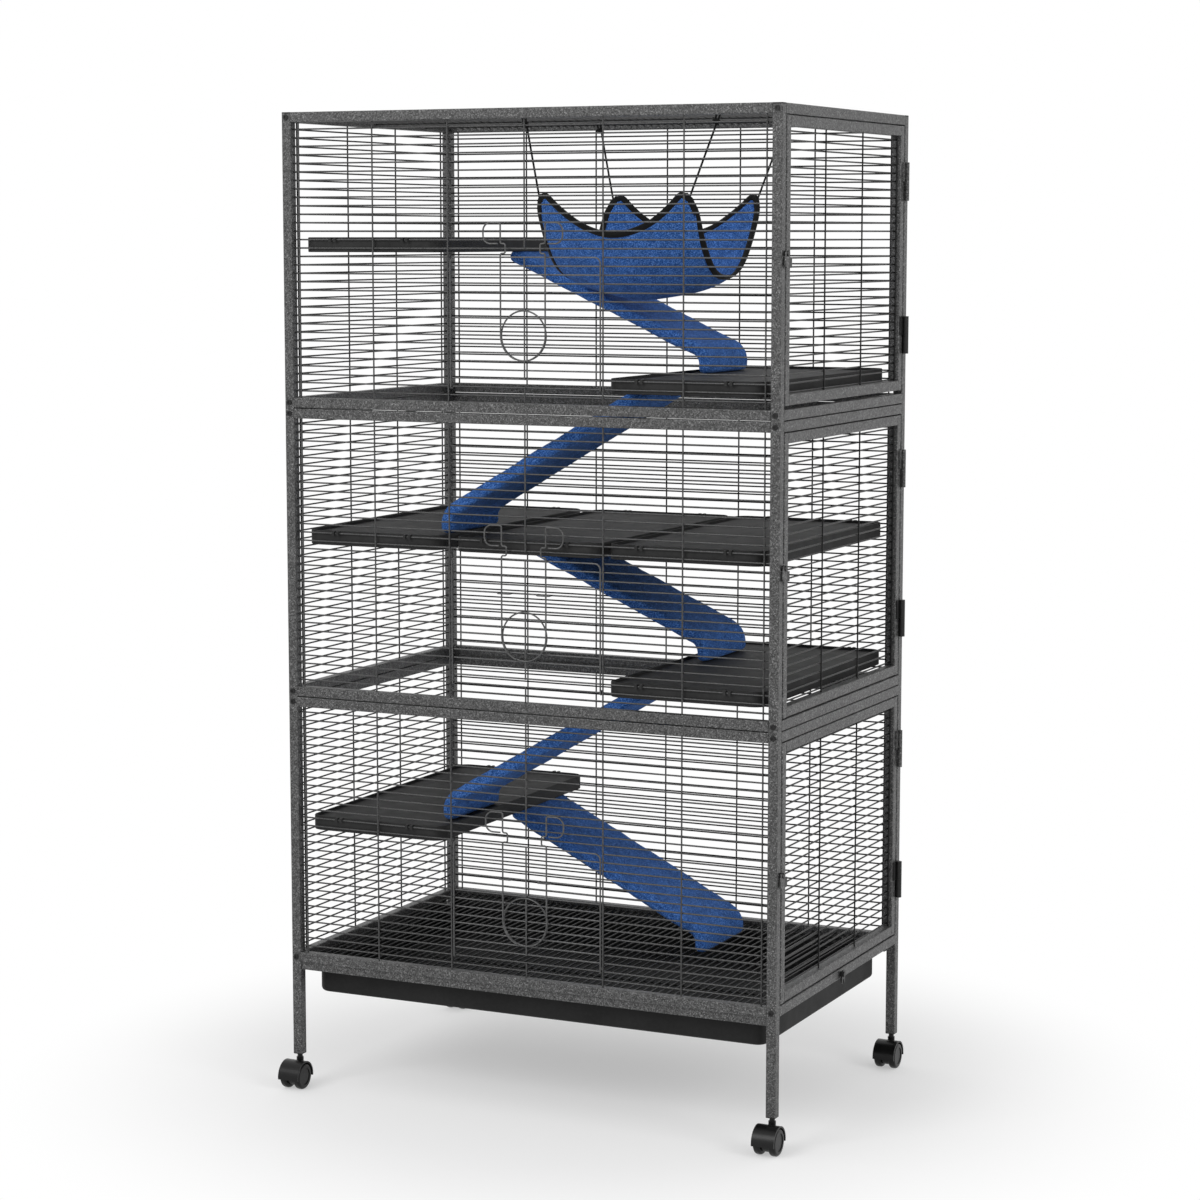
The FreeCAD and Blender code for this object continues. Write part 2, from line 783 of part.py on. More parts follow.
def ramp(under, foot, side_y):
    """Fleece sleeve from under a shelf's wall down to its foot, and the board that fills its pocket."""
    head, bend = ramp_line(under, foot)
    sleeve = bent_strip(head, bend, foot, ramp_thickness / 2, ramp_end_edge, ramp_width)
    rims = [edge for edge in sleeve.Edges if edge.BoundBox.YLength < ramp_gap]
    sleeve = sleeve.makeFillet(ramp_side_edge, rims)
    board_width = ramp_width - 2 * ramp_board_inset
    board_foot = foot.add(V(0, 0, ramp_board_inset))
    board = bent_strip(head, bend, board_foot, ramp_board / 2, ramp_board_edge, board_width)
    board.translate(V(0, ramp_board_inset, 0))
    room = ramp_board_clearance
    mouth = head.add(head.sub(bend).normalize().multiply(cut_overrun))
    pocket = bent_strip(mouth, bend, board_foot.sub(V(0, 0, room)), ramp_board / 2 + room, ramp_board_edge,
                        board_width + 2 * room)
    pocket.translate(V(0, ramp_board_inset - room, 0))
    sleeve = sleeve.cut(pocket)
    for piece in (sleeve, board):
        piece.translate(V(0, side_y - ramp_width / 2, 0))
    return sleeve, board


def shelf_stand(x, rim_z):
    """Where a ramp's foot stands on a shelf's floor."""
    return V(x, 0, rim_z - shelf_rim + ramp_gap)


falling_foot_x = right_shelf[0] + falling_ramp_reach
crossing_foot_x = left_shelf[1] - crossing_ramp_reach
top_ramp = (left_shelf_foot(upper_rim("top")), shelf_stand(falling_foot_x, lower_rim("top")))
ramps = {
    "ramp_sleeve_top": ramp(*top_ramp, ramp_side),
    "ramp_sleeve_upper_crossing": ramp(
        right_shelf_foot(lower_rim("top")), shelf_stand(crossing_foot_x, upper_rim("middle")), -ramp_side),
    "ramp_sleeve_middle": ramp(
        left_shelf_foot(upper_rim("middle")), shelf_stand(falling_foot_x, lower_rim("middle")), ramp_side),
    "ramp_sleeve_lower_crossing": ramp(
        right_shelf_foot(lower_rim("middle")), shelf_stand(crossing_foot_x, upper_rim("bottom")), -ramp_side),
    "ramp_sleeve_bottom": ramp(
        left_shelf_foot(upper_rim("bottom")),
        V(floor_ramp_foot, 0, floor_wire_z + wire_radius + ramp_gap), ramp_side),
}


# Hammock

def ramp_top(x):
    """Height of the top ramp's upper face."""
    head, bend = ramp_line(*top_ramp)
    slope = head.sub(bend)
    return bend.z + (x - bend.x) * slope.z / slope.x + ramp_thickness / 2 * slope.Length / abs(slope.x)


hammock_left = hammock_centre - hammock_width / 2
hammock_z = ramp_top(hammock_left) + hammock_clearance + hammock_thickness + hammock_side_sag


def hammock_levels(y):
    """Heights of the hammock's sides and of its middle line."""
    rise = abs(2 * y / hammock_depth) ** hammock_rise_power
    side_z = hammock_z - hammock_side_sag * (1 - rise)
    middle_z = hammock_z - hammock_belly_sag * (1 - rise) - hammock_hem_sag * rise
    return side_z, middle_z


def hammock_climb(x, y):
    """Rise of the cloth's round section from its middle line out to a distance across it."""
    side_z, middle_z = hammock_levels(y)
    half = hammock_width / 2
    sag = side_z - middle_z
    radius = (half * half + sag * sag) / (2 * sag)
    return radius - sqrt(radius * radius - x * x)


def hammock_section(share):
    """Closed outline across the hammock at a share of its half depth: two arcs, one under the other."""
    y = share * (hammock_depth / 2 + cut_overrun)
    half = hammock_width / 2 + cut_overrun
    under = V(0, 0, -hammock_thickness)
    middle = V(hammock_centre, y, hammock_levels(y)[1])
    left = middle.add(V(-half, 0, hammock_climb(half, y)))
    right = middle.add(V(half, 0, hammock_climb(half, y)))
    return Part.Wire([
        Part.Arc(left, middle, right).toShape(),
        Part.LineSegment(right, right.add(under)).toShape(),
        Part.Arc(right.add(under), middle.add(under), left.add(under)).toShape(),
        Part.LineSegment(left.add(under), left).toShape(),
    ])


def hammock():
    """The hanging cloth, its four tips cut round."""
    cloth = Part.makeLoft([hammock_section(share) for share in hammock_section_shares], True, False)
    low = V(hammock_centre - hammock_width / 2, -hammock_depth / 2,
            hammock_z - hammock_belly_sag - hammock_thickness - cut_overrun)
    high = V(hammock_centre + hammock_width / 2, hammock_depth / 2, hammock_z + cut_overrun)
    return cloth.common(rounded_block(low, high, hammock_tip_round)).Solids[0]


def hammock_tip(side_x, side_y):
    """Middle of a rounded tip, on the upper face of the cloth."""
    inset = hammock_tip_round * (1 - cos(pi / 4))
    across = hammock_width / 2 - inset
    along = hammock_depth / 2 - inset
    z = hammock_levels(along)[1] + hammock_climb(across, along)
    return V(hammock_centre + side_x * across, side_y * along, z)


def hammock_cord(side_x, side_y):
    """Taut cord from a tip of the hammock to the loop that hangs it on a roof wire."""
    bays = cord_left_bays if side_x < 0 else cord_right_bays
    tip = hammock_tip(side_x, side_y)
    hang = V(side_x * bays * wire_pitch, tip.y, roof_wire_z)
    rise = hang.sub(tip).normalize()
    loop = wire_radius + cord_loop_clearance + cord / 2
    start = tip.add(V(rise).multiply(cord_end_gap))
    return fused([
        rod(start, hang.sub(V(rise).multiply(loop)), cord / 2),
        Part.makeTorus(loop, cord / 2, hang, ALONG_Y),
    ])


# Tray, runners and tray latch

runner_bottom = tier_floor["bottom"] - runner_drop
lip_low = runner_bottom + runner_thickness + tray_clearance
lip_high = lip_low + tray_lip_thickness


def tray():
    """Pan with rounded corners and a rolled bottom edge, hung by its lip."""
    x, y = tray_length / 2, tray_width / 2
    low = lip_high - tray_depth
    pan = rounded_block(V(-x, -y, low), V(x, y, lip_high), tray_corner)
    foot = [edge for edge in pan.Edges if edge.BoundBox.ZMax < low + tray_edge / 2]
    pan = pan.makeFillet(tray_edge, foot)
    inner_x_half, inner_y_half = x - tray_wall, y - tray_wall
    hollow = rounded_block(V(-inner_x_half, -inner_y_half, low + tray_wall),
                           V(inner_x_half, inner_y_half, lip_high + cut_overrun), tray_corner - tray_wall)
    foot = [edge for edge in hollow.Edges if edge.BoundBox.ZMax < low + tray_edge / 2]
    hollow = hollow.makeFillet(tray_edge - tray_wall, foot)
    lip = rounded_block(V(-x, -y - tray_lip, lip_low), V(x, y + tray_lip, lip_high), tray_corner)
    return fused([pan, lip]).cut(hollow)


def tray_runner(side):
    """Angle section under a rail: the tray's lip slides on its inward ledge."""
    outer = half_depth - runner_inset
    ends = sorted((side * (outer - runner_thickness), side * outer))
    flange = block(V(-inner_x, ends[0], runner_bottom), V(inner_x, ends[1], tier_floor["bottom"]))
    ends = sorted((side * (outer - runner_ledge), side * outer))
    ledge = block(V(-inner_x, ends[0], runner_bottom), V(inner_x, ends[1], runner_bottom + runner_thickness))
    return fused([flange, ledge])


def end_runner():
    """The same angle section under the left rail, which closes the gap behind the tray's blind end."""
    outer = half_width - runner_inset
    reach = half_depth - runner_inset - runner_ledge
    flange = block(V(-outer, -reach, runner_bottom), V(runner_thickness - outer, reach, tier_floor["bottom"]))
    ledge = block(V(-outer, -reach, runner_bottom),
                  V(runner_ledge - outer, reach, runner_bottom + runner_thickness))
    return fused([flange, ledge])


def tray_latch():
    """Forked lever that hangs from its screw over the end of the tray."""
    pivot = V(half_width + side_latch_stand_off, 0, floor_wire_z)
    end_radius = tray_latch_fork
    end = V(pivot.x, 0, lip_high + tray_latch_gap + end_radius)
    plate = link_plate(pivot, tray_latch_radius, end, end_radius, tray_latch_thickness)
    span = V(cut_overrun, 0, 0)
    hole = rod(pivot.sub(span), pivot.add(span), pivot_shank_radius + pivot_clearance)
    slot = block(V(pivot.x - cut_overrun, -tray_latch_fork / 4, end.z - end_radius - cut_overrun),
                 V(pivot.x + cut_overrun, tray_latch_fork / 4, end.z))
    return plate.cut(hole).cut(slot)


# Casters

corners = {"front_left": (-1, -1), "front_right": (1, -1), "back_left": (-1, 1), "back_right": (1, 1)}
trailing_back = [corners["back_left"]]
socket_bottom = boss_top - caster_socket_depth


def caster_centre(side_x, side_y):
    return V(side_x * (half_width - tube / 2), side_y * (half_depth - tube / 2), 0)


def caster_stem(side_x, side_y):
    """Square plug in the leg's bore, with the round stem below it."""
    centre = caster_centre(side_x, side_y)
    side = tube_bore / 2 - cap_clearance
    plug = block(centre.add(V(-side, -side, caster_height)),
                 centre.add(V(side, side, caster_height + caster_stem_plug)))
    collar = block(centre.add(V(-tube / 2, -tube / 2, caster_height - tube_wall)),
                   centre.add(V(tube / 2, tube / 2, caster_height)))
    collar = collar.makeFillet(tube_corner, edges_along(collar, ALONG_Z))
    stem = rod(centre.add(V(0, 0, socket_bottom + caster_stem_end_gap)), centre.add(V(0, 0, caster_height)),
               caster_stem_radius)
    return fused([plug, collar, stem])


def axle_middle(side_x, side_y):
    """Middle of the axle, which trails to the front at rest except where a corner is named above."""
    trail = caster_trail if (side_x, side_y) in trailing_back else -caster_trail
    return caster_centre(side_x, side_y).add(V(0, trail, wheel_radius))


def caster_housing(side_x, side_y):
    """Hood over the twin wheels, on a web that holds the stem's socket and the axle."""
    centre = caster_centre(side_x, side_y)
    middle = axle_middle(side_x, side_y)
    half_span = V(web_thickness / 2 + web_gap + wheel_width, 0, 0)
    half_web = V(web_thickness / 2, 0, 0)
    inner = wheel_radius + hood_gap
    spare = V(cut_overrun, 0, 0)
    hood = rod(middle.sub(half_span), middle.add(half_span), inner + hood_wall)
    hood = hood.cut(rod(middle.sub(half_span).sub(spare), middle.add(half_span).add(spare), inner))
    reach = inner + hood_wall + cut_overrun
    hood = hood.cut(block(middle.sub(V(reach, reach, reach)), middle.add(V(reach, reach, -hood_skirt))))
    crown = rod(middle.sub(half_web), middle.add(half_web), inner + hood_wall / 2)
    crown = crown.cut(block(middle.sub(V(reach, reach, reach)), middle.add(V(reach, reach, 0))))
    web = rod(middle.sub(half_web), middle.add(half_web), web_radius)
    half_axle = half_span.sub(V(wheel_dish_depth + wheel_face + axle_end_gap, 0, 0))
    axle = rod(middle.sub(half_axle), middle.add(half_axle), axle_radius)
    boss = rod(centre.add(V(0, 0, wheel_radius)), centre.add(V(0, 0, boss_top)), web_thickness / 2)
    socket = rod(centre.add(V(0, 0, socket_bottom)), centre.add(V(0, 0, boss_top + cut_overrun)),
                 caster_stem_radius + pin_clearance)
    return fused([hood, crown, web, axle, boss]).cut(socket)


def caster_wheels(side_x, side_y):
    """Two dished wheels on one axle, one each side of the web."""
    middle = axle_middle(side_x, side_y)
    wheels = []
    for side in (-1, 1):
        inner = middle.add(V(side * (web_thickness / 2 + web_gap), 0, 0))
        outer = inner.add(V(side * wheel_width, 0, 0))
        tyre = rod(inner, outer, wheel_radius)
        tyre = tyre.makeFillet(wheel_edge, [edge for edge in tyre.Edges if edge.Closed])
        dish = rod(outer.sub(V(side * wheel_dish_depth, 0, 0)), outer.add(V(side * cut_overrun, 0, 0)),
                   wheel_dish_radius)
        bore_end = outer.sub(V(side * (wheel_dish_depth + wheel_face), 0, 0))
        bore = rod(inner.sub(V(side * cut_overrun, 0, 0)), bore_end, axle_radius + pin_clearance)
        wheels.append(tyre.cut(dish).cut(bore))
    return wheels


# One file for each node
for name, sides in corners.items():
    save("post_" + name, [post(*sides)])
    save("caster_housing_" + name, [caster_housing(*sides)])
    save("caster_wheels_" + name, caster_wheels(*sides))
save("post_caps", [post_cap(*sides) for sides in corners.values()])
save("caster_stems", [caster_stem(*sides) for sides in corners.values()])
save("front_back_rails", front_and_back_rails())
save("side_rails", side_rails())
save("frame_screws", frame_screws())
save("back_grilles", [piece for tier in tiers for piece in back_grille(tier)])
save("left_grilles", [piece for tier in tiers for piece in left_grille(tier)])
save("roof_grille", flat_grille(roof_wire_z))
save("floor_grille", flat_grille(floor_wire_z))
save("post_hinges", [post_knuckle(*stout_hinge(tier)) for tier in tiers])
for tier in tiers:
    save("front_grille_" + tier, front_grille(tier))
    save("side_door_" + tier, side_door(tier))
    save("side_door_grille_" + tier, side_door_grille(tier))
    save("side_door_hardware_" + tier, side_door_hardware(tier))
    save("side_latch_" + tier, [side_latch(tier)])
    save("front_door_" + tier, front_door(tier))
    save("front_latch_left_" + tier, [front_latch(tier, -1)])
    save("front_latch_right_" + tier, [front_latch(tier, 1)])
save("shelves_top", [shelf(left_shelf, upper_rim("top")), shelf(right_shelf, lower_rim("top"))])
save("shelves_middle", [shelf(span, upper_rim("middle")) for span in (left_shelf, middle_shelf, right_shelf)]
     + [shelf(right_shelf, lower_rim("middle"))])
save("shelf_bottom", [shelf(left_shelf, upper_rim("bottom"))])
for node, (sleeve, board) in ramps.items():
    save(node, [sleeve])
save("ramp_boards", [board for sleeve, board in ramps.values()])
save("hammock", [hammock()])
save("hammock_cords", [hammock_cord(side_x, side_y) for side_x in (-1, 1) for side_y in (-1, 1)])
save("tray", [tray()])
save("tray_runners", [tray_runner(side) for side in (-1, 1)] + [end_runner()])
save("tray_latch", [tray_latch()])
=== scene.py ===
import json
from math import atan2, copysign, cos, exp, hypot, pi, sin

import bmesh
import bpy
from mathutils import Matrix, Vector, noise


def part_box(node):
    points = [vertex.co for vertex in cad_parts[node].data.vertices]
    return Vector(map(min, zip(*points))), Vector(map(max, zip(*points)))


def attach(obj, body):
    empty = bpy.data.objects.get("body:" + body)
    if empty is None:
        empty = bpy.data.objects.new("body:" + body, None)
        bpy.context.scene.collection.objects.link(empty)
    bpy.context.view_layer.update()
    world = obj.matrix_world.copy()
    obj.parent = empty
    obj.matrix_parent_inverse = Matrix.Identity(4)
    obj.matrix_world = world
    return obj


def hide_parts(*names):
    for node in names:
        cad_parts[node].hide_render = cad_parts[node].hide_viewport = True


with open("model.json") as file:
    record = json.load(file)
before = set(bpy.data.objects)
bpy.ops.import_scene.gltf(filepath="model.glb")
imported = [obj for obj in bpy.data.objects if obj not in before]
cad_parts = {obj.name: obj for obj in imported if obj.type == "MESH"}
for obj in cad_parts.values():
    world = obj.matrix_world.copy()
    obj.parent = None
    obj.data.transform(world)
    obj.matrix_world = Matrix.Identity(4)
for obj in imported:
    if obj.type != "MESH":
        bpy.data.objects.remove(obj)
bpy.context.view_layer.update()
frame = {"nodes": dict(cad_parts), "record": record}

# Hammock, in metres: the corners of its square, which stand over the round tips by the cut, and its
# sag below them
hammock_low, hammock_high = (Vector(corner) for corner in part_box("hammock"))
HAMMOCK_MIDDLE = (hammock_low + hammock_high) / 2
HAMMOCK_HALF = (hammock_high - hammock_low) / 2
HAMMOCK_TIP_CUT = 0.016
HAMMOCK_CORNER_Z = hammock_high.z + HAMMOCK_TIP_CUT
HAMMOCK_SIDE_SAG = 0.148
HAMMOCK_BELLY_SAG = 0.181
HAMMOCK_HEM_SAG = 0.084
HAMMOCK_DRIFT = -0.003
HAMMOCK_HEM_DRAW = 0.008
HAMMOCK_TIP_SHARE = 0.22
HAMMOCK_RISE_POWER = 2.4
HAMMOCK_CLOTH = 0.003
HAMMOCK_TIPS = {
    "front_left": (-1, -1), "front_right": (1, -1), "back_left": (-1, 1), "back_right": (1, 1),
}
FOLD_HEIGHT = 0.0014
FOLD_REACH = 0.3
FOLDS_PER_TURN = 12
CLOTH_UNEVEN = 0.0012
CLOTH_WAVES = 22
CLOTH_STEPS = (56, 64)
HEM_STEPS = 64
HEM_INWARD_SHARE = 0.9

# Folded tape round the hems: distance in from the edge and height over the middle of the cloth
BINDING_SECTION = (
    (-0.0012, 0.0), (-0.0005, 0.0021), (0.0035, 0.0026), (0.0075, 0.0023), (0.0083, 0.0014),
    (0.0083, -0.0014), (0.0075, -0.0023), (0.0035, -0.0026), (-0.0005, -0.0021),
)

# Hammock cords over the roof wires, which lie inside the outer faces of the cords' solids
CORD_WIDTH = 0.003
CORD_LOOP = 0.003
WIRE_RADIUS = 0.0012
cords_low, cords_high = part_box("hammock_cords")
LOOP_REACH = CORD_LOOP + CORD_WIDTH / 2
ROOF_WIRE_X = {-1: cords_low[0] + LOOP_REACH, 1: cords_high[0] - LOOP_REACH}
ROOF_WIRE_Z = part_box("roof_grille")[1][2] - WIRE_RADIUS
CORD_LEAD = 0.018
CORD_TAIL = 0.016
CORD_CLOSE = 0.0033
CORD_CREST_SHARE = 1.1
WRAP_TURNS = 2
WRAP_STEPS = 8
WRAP_PITCH = 0.0031
WRAP_ACROSS = 0.0048
WRAP_ALONG = 0.0031

# Ramp sleeves: a slope from the head to a bend, then a short upright foot
RAMPS = ("top", "upper_crossing", "middle", "lower_crossing", "bottom")
RAMP_SKIN = 0.01
RAMP_FOOT = 0.03
RAMP_HEAD_IN = 0.0014
RAMP_HEAD_DROP = 0.0058
RAMP_HALF_WIDTH = 0.0788
RAMP_HALF_THICKNESS = 0.0096
RAMP_EDGE = 0.0078
RAMP_END = 0.0082
RAMP_BEND = 0.026
RAMP_SEAM = 0.0014
RAMP_CROWN = 0.0009
RAMP_UNEVEN = 0.0011
RAMP_WAVES = 24
PILE_UNEVEN = 0.0004
PILE_WAVES = 110
SLOPE_STEPS = 48
BEND_STEPS = 12
END_STEPS = 4
EDGE_STEPS = 5
FLAT_STEPS = 4

# Studio: a pale floor that keeps the shadow near the cage and is plain white further out
FLOOR_REACH = 40.0
FLOOR_TONE = 0.93
SHADOW_NEAR = 0.42
SHADOW_FAR = 0.95
WHITE_LEAST = 0.4
AMBIENT = 0.62
LIGHT_AIM = Vector((0, 0, 0.75))

# Camera, from the vanishing points of the photo
CAMERA_PLACE = (1.937, -4.078, 1.303)
CAMERA_RIGHT = Vector((0.9034, 0.4288, 0.0))
CAMERA_DOWN = Vector((0.0524, -0.1101, -0.9926))
CAMERA_FORWARD = Vector((-0.4256, 0.8967, -0.1219))
CAMERA_LENS = 88.95
SENSOR_WIDTH = 36.0
CLIP_END = 200.0


# Materials

class Paint:
    """A node material being put together round one principled surface."""

    def __init__(self, name, **surface):
        self.material = bpy.data.materials.new(name)
        self.material.use_nodes = True
        self.tree = self.material.node_tree
        self.surface = self.tree.nodes["Principled BSDF"]
        for socket, value in surface.items():
            self.surface.inputs[socket.replace("_", " ")].default_value = value
        self.place = self.add("TexCoord").outputs["Object"]

    def add(self, kind, inputs=None, **settings):
        """A node with its settings made, and its sockets set or linked."""
        node = self.tree.nodes.new("ShaderNode" + kind)
        for key, value in settings.items():
            setattr(node, key, value)
        for socket, value in (inputs or {}).items():
            self.put(node.inputs[socket], value)
        return node

    def put(self, socket, value):
        if isinstance(value, bpy.types.NodeSocket):
            self.tree.links.new(value, socket)
        else:
            socket.default_value = value

    def noise(self, scale, detail=2.0):
        inputs = {"Vector": self.place, "Scale": scale, "Detail": detail}
        return self.add("TexNoise", inputs).outputs["Fac"]

    def grains(self, scale):
        return self.add("TexVoronoi", {"Vector": self.place, "Scale": scale})

    def ramp(self, fac, *stops):
        node = self.add("ValToRGB", {"Fac": fac})
        elements = node.color_ramp.elements
        while len(elements) < len(stops):
            elements.new(0.5)
        for element, (position, colour) in zip(elements, stops):
            element.position = position
            element.color = (*colour, 1.0)
        return node.outputs["Color"]

    def blend(self, fac, first, second, mode="MIX"):
        """Two colours mixed, by the node's colour sockets, which come after its other kinds."""
        inputs = {0: fac, 6: first, 7: second}
        return self.add("Mix", inputs, data_type="RGBA", blend_type=mode).outputs[2]

    def span(self, value, low, high):
        inputs = {"Value": value, "To Min": low, "To Max": high}
        return self.add("MapRange", inputs).outputs["Result"]

    def bump(self, height, strength, distance, under=None):
        inputs = {"Height": height, "Strength": strength, "Distance": distance}
        if under:
            inputs["Normal"] = under
        return self.add("Bump", inputs).outputs["Normal"]

    def finish(self, **sockets):
        for socket, value in sockets.items():
            self.put(self.surface.inputs[socket.replace("_", " ")], value)
        return self.material


def grey(value):
    return (value, value, value)


def hammertone():
    """Grey enamel that dries in fine pale flakes between darker veins."""
    paint = Paint("hammertone", Metallic=0.15, Specular_IOR_Level=0.4)
    cells = paint.grains(600)
    flakes = paint.ramp(
        cells.outputs["Color"],
        (0.1, grey(0.02)), (0.5, grey(0.074)), (0.76, grey(0.136)), (0.97, grey(0.27)))
    veins = paint.ramp(paint.noise(1000, detail=3), (0.36, grey(0.5)), (0.62, grey(1.15)))
    colour = paint.blend(1.0, flakes, veins, "MULTIPLY")
    dimples = paint.bump(cells.outputs["Distance"], strength=0.35, distance=0.0006)
    sheen = paint.span(paint.noise(240), low=0.36, high=0.56)
    return paint.finish(Base_Color=colour, Roughness=sheen, Normal=dimples)


def coated_wire(name, dark, light, metallic, specular):
    """Wire under a thin dark coat, a little streaked along its length."""
    paint = Paint(name, Metallic=metallic, Specular_IOR_Level=specular)
    colour = paint.ramp(paint.noise(420, detail=3), (0.3, grey(dark)), (0.72, grey(light)))
    sheen = paint.span(paint.noise(90), low=0.26, high=0.4)
    return paint.finish(Base_Color=colour, Roughness=sheen)


def black_steel():
    """Screws, hinges and latches under a thin black coat."""
    paint = Paint("black_steel", Metallic=0.3, Specular_IOR_Level=0.35)
    colour = paint.ramp(paint.noise(300, detail=3), (0.3, grey(0.007)), (0.75, grey(0.02)))
    grain = paint.bump(paint.noise(1500), strength=0.12, distance=0.0002)
    sheen = paint.span(paint.noise(120), low=0.34, high=0.5)
    return paint.finish(Base_Color=colour, Roughness=sheen, Normal=grain)


def moulded_plastic(name, dark, light, roughness, specular):
    """Black plastic with a fine moulded grain, scuffed a little paler in patches."""
    paint = Paint(name, Specular_IOR_Level=specular)
    scuffs = paint.blend(0.35, paint.noise(14, detail=5), paint.noise(160, detail=3))
    colour = paint.ramp(scuffs, (0.35, grey(dark)), (0.68, grey(light)))
    grain = paint.bump(paint.noise(1100, detail=1), strength=0.22, distance=0.0003)
    sheen = paint.span(paint.noise(40, detail=4), low=roughness - 0.08, high=roughness + 0.1)
    return paint.finish(Base_Color=colour, Roughness=sheen, Normal=grain)


def fleece():
    """Blue pile, paler at its tips, brushed lighter and darker in patches."""
    paint = Paint(
        "blue_fleece", Specular_IOR_Level=0.08, Sheen_Weight=0.12, Sheen_Roughness=0.55,
        Sheen_Tint=(0.4, 0.58, 1.0, 1.0))
    shade = paint.ramp(
        paint.noise(560, detail=4),
        (0.34, (0.011, 0.05, 0.2)), (0.5, (0.034, 0.122, 0.4)), (0.66, (0.14, 0.29, 0.68)))
    patches = paint.blend(0.5, paint.noise(40, detail=4), paint.noise(130, detail=3))
    brushed = paint.ramp(patches, (0.32, grey(0.72)), (0.66, grey(1.3)))
    tufts = paint.bump(paint.noise(70, detail=3), strength=0.35, distance=0.003)
    pile = paint.bump(paint.noise(900, detail=4), strength=0.6, distance=0.0012, under=tufts)
    colour = paint.blend(1.0, shade, brushed, "MULTIPLY")
    return paint.finish(Base_Color=colour, Roughness=0.92, Normal=pile)


def woven_black(name, scale):
    """Black threads of a cord or a tape."""
    paint = Paint(name, Specular_IOR_Level=0.15, Sheen_Weight=0.06)
    threads = paint.grains(scale).outputs["Distance"]
    colour = paint.ramp(threads, (0.1, grey(0.016)), (0.6, grey(0.005)))
    weave = paint.bump(threads, strength=0.5, distance=0.0004)
    return paint.finish(Base_Color=colour, Roughness=0.8, Normal=weave)


def hardboard():
    """Pressed brown fibres of the boards inside the ramps."""
    paint = Paint("hardboard")
    colour = paint.ramp(
        paint.noise(500, detail=5), (0.3, (0.13, 0.07, 0.035)), (0.7, (0.26, 0.155, 0.08)))
    fibres = paint.bump(paint.noise(900, detail=3), strength=0.2, distance=0.0003)
    return paint.finish(Base_Color=colour, Roughness=0.75, Normal=fibres)


MATERIALS = {
    "hammertone": hammertone(),
    "grille_wire": coated_wire("grille_wire", dark=0.004, light=0.014, metallic=0.0, specular=0.18),
    "black_steel": black_steel(),
    "black_plastic": moulded_plastic(
        "black_plastic", dark=0.017, light=0.032, roughness=0.6, specular=0.14),
    "wheel_plastic": moulded_plastic(
        "wheel_plastic", dark=0.003, light=0.006, roughness=0.3, specular=0.25),
    "blue_fleece": fleece(),
    "hardboard": hardboard(),
    "black_cord": woven_black("black_cord", 900),
}
# Lighter copies of the grille wire's dark coat for the hatches, latches and front grille: painted
# highlight where the wire catches the light
hatch_wire_painted_highlight = coated_wire("hatch_wire_painted_highlight", dark=0.05, light=0.12, metallic=0.5, specular=0.4)
front_wire_painted_highlight = coated_wire("front_wire_painted_highlight", dark=0.03, light=0.085, metallic=0.4, specular=0.4)
caster_plastic = moulded_plastic(
    "caster_plastic", dark=0.003, light=0.007, roughness=0.3, specular=0.25)
# A darker copy of the black plastic for the tray: partly its own tone, partly painted shade for the
# shaded floor inside it
tray_plastic_painted_shade = moulded_plastic(
    "tray_plastic_painted_shade", dark=0.011, light=0.019, roughness=0.55, specular=0.14)
binding_tape = woven_black("binding_tape", 1300)


def dress_cad():
    """Give every node of the construction the material of its slot, or its own."""
    for subpart in frame["record"]["subparts"]:
        node = subpart["node"]
        material = MATERIALS[subpart["material_slot"]]
        # Hatches, latches and the front grille take the lighter wire copies, which carry painted
        # highlight
        if node.startswith(("front_door", "front_latch")):
            material = hatch_wire_painted_highlight
        elif node.startswith("front_grille"):
            material = front_wire_painted_highlight
        elif node.startswith("caster_housing"):
            material = caster_plastic
        # The tray takes the darker plastic copy, partly painted shade
        elif node == "tray":
            material = tray_plastic_painted_shade
        for slot in frame["nodes"][node].material_slots:
            slot.material = material


# Soft pieces

def piece(name, data, slot, material=None):
    """An object of the fixed frame, with the look of its slot."""
    obj = bpy.data.objects.new(name, data)
    bpy.context.scene.collection.objects.link(obj)
    data.materials.append(material or MATERIALS[slot])
    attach(obj, "frame")
    return obj


def smooth_mesh(name, points, faces):
    """A smooth mesh whose faces all look outward."""
    mesh = bpy.data.meshes.new(name)
    mesh.from_pydata(points, [], faces)
    work = bmesh.new()
    work.from_mesh(mesh)
    bmesh.ops.recalc_face_normals(work, faces=work.faces)
    work.to_mesh(mesh)
    work.free()
    mesh.shade_smooth()
    return mesh


def loft(name, rings, closed=False):
    """A mesh through equal rings of points, its ends capped or joined to each other."""
    count = len(rings[0])
    points = [point for ring in rings for point in ring]
    last = len(rings) if closed else len(rings) - 1
    faces = []
    for k in range(last):
        here = k * count
        there = (k + 1) % len(rings) * count
        for i in range(count):
            j = (i + 1) % count
            faces.append((here + i, here + j, there + j, there + i))
    if not closed:
        faces.append(tuple(reversed(range(count))))
        faces.append(tuple(range(last * count, last * count + count)))
    return smooth_mesh(name, points, faces)


def round_tip(u, v):
    """Shares of the hammock's half width and depth, with the square's corners drawn round."""
    straight = 1 - HAMMOCK_TIP_SHARE
    if abs(u) <= straight or abs(v) <= straight:
        return u, v
    a = (abs(u) - straight) / HAMMOCK_TIP_SHARE
    b = (abs(v) - straight) / HAMMOCK_TIP_SHARE
    across = straight + HAMMOCK_TIP_SHARE * a * (1 - b * b / 2) ** 0.5
    along = straight + HAMMOCK_TIP_SHARE * b * (1 - a * a / 2) ** 0.5
    return copysign(across, u), copysign(along, v)


def fold_height(u, v):
    """Height of the tension folds that spread from each tip."""
    height = 0.0
    for tip_u in (-1, 1):
        for tip_v in (-1, 1):
            away = hypot(tip_u - u, tip_v - v) / FOLD_REACH
            turn = atan2(tip_v - v, tip_u - u)
            height += FOLD_HEIGHT * cos(turn * FOLDS_PER_TURN) * away * exp(1 - away)
    return height


